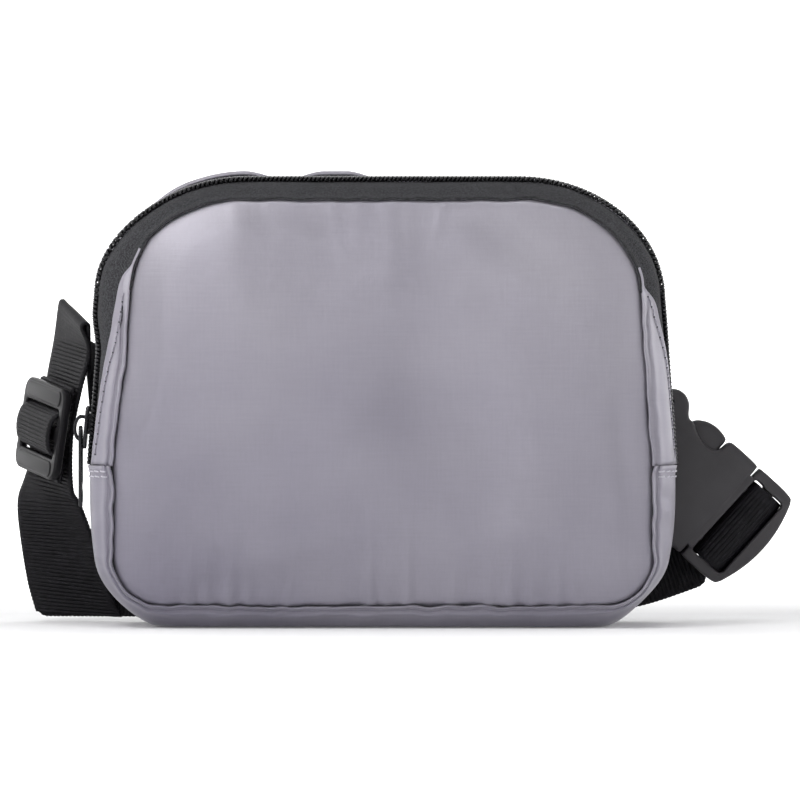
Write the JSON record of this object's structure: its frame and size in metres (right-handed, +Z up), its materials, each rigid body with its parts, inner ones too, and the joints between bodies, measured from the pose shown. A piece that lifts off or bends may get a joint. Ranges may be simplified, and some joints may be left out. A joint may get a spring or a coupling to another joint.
{
  "type": "belt bag",
  "caption": "Zipped nylon belt bag with a bulged gusset and an adjustable webbing belt closed by a side-release buckle.",
  "frame": {"origin": "middle of the flat bottom of the bottom gusset, on the surface the bag stands on", "axes": "+X to the buckle side, seen from the front; the front panel faces -Y; +Z up"},
  "size_m": [0.272, 0.0714, 0.1543],
  "materials": {
    "lilac_nylon": "satin ripstop nylon",
    "lining": "plain weave polyester",
    "zip_tape": "matt woven tape",
    "zip_coil": "nylon coil",
    "black_metal": "gloss black",
    "webbing": "ribbed polypropylene webbing",
    "black_acetal": "satin moulded"
  },
  "bodies": {
    "bag": {"front_panel": "lilac_nylon", "back_panel": "lilac_nylon", "bottom_gusset": "lilac_nylon", "front_strip_left": "lilac_nylon", "front_strip_right": "lilac_nylon", "rear_strip": "lilac_nylon", "front_lining": "lining", "back_lining": "lining", "bottom_lining": "lining", "top_lining": "lining", "zip_tape_front": "zip_tape", "zip_tape_rear": "zip_tape", "front_seam_binding": "zip_tape", "back_seam_binding": "zip_tape", "zip_coil_front": "zip_coil", "zip_coil_rear": "zip_coil", "belt_left_run": "webbing", "belt_anchor_run": "webbing", "belt_back_run": "webbing", "female_tab": "webbing", "buckle_female": "black_acetal"},
    "slider": {"zip_slider": "black_metal"},
    "pull": {"zip_pull": "black_metal"},
    "glide": {"tri_glide": "black_acetal", "belt_glide_wrap": "webbing"},
    "male": {"buckle_male": "black_acetal", "belt_buckle_wrap": "webbing"},
    "prong_upper": {"buckle_prong_upper": "black_acetal"},
    "prong_lower": {"buckle_prong_lower": "black_acetal"}
  },
  "joints": [
    {"name": "zip_travel", "type": "slide", "parent": "bag", "child": "slider", "axis": [0.0847, -0.0836, 0.9929], "range_m": [-0.004, 0.026]},
    {"name": "zip_pull_swing", "type": "hinge", "parent": "slider", "child": "pull", "pos_m": [-0.10377, -0.00284, 0.06788], "axis": [0, 1, 0], "range_deg": [0, 165]},
    {"name": "glide_adjust", "type": "slide", "parent": "bag", "child": "glide", "axis": [0.1528, -0.09, 0.9841], "range_m": [-0.001, 0.014]},
    {"name": "buckle_release", "type": "slide", "parent": "bag", "child": "male", "axis": [0.7385, 0, -0.6743], "range_m": [0, 0.032], "deforming": ["buckle_prong_upper", "buckle_prong_lower"]},
    {"name": "prong_upper_squeeze", "type": "hinge", "parent": "male", "child": "prong_upper", "pos_m": [0.12367, 0.0306, 0.04835], "axis": [0, -1, 0], "range_deg": [0, 6.5], "stiffness_Nm_per_rad": 0.3},
    {"name": "prong_lower_squeeze", "type": "hinge", "parent": "male", "child": "prong_lower", "pos_m": [0.10857, 0.0306, 0.03181], "axis": [0, 1, 0], "range_deg": [0, 6.5], "stiffness_Nm_per_rad": 0.3}
  ]
}
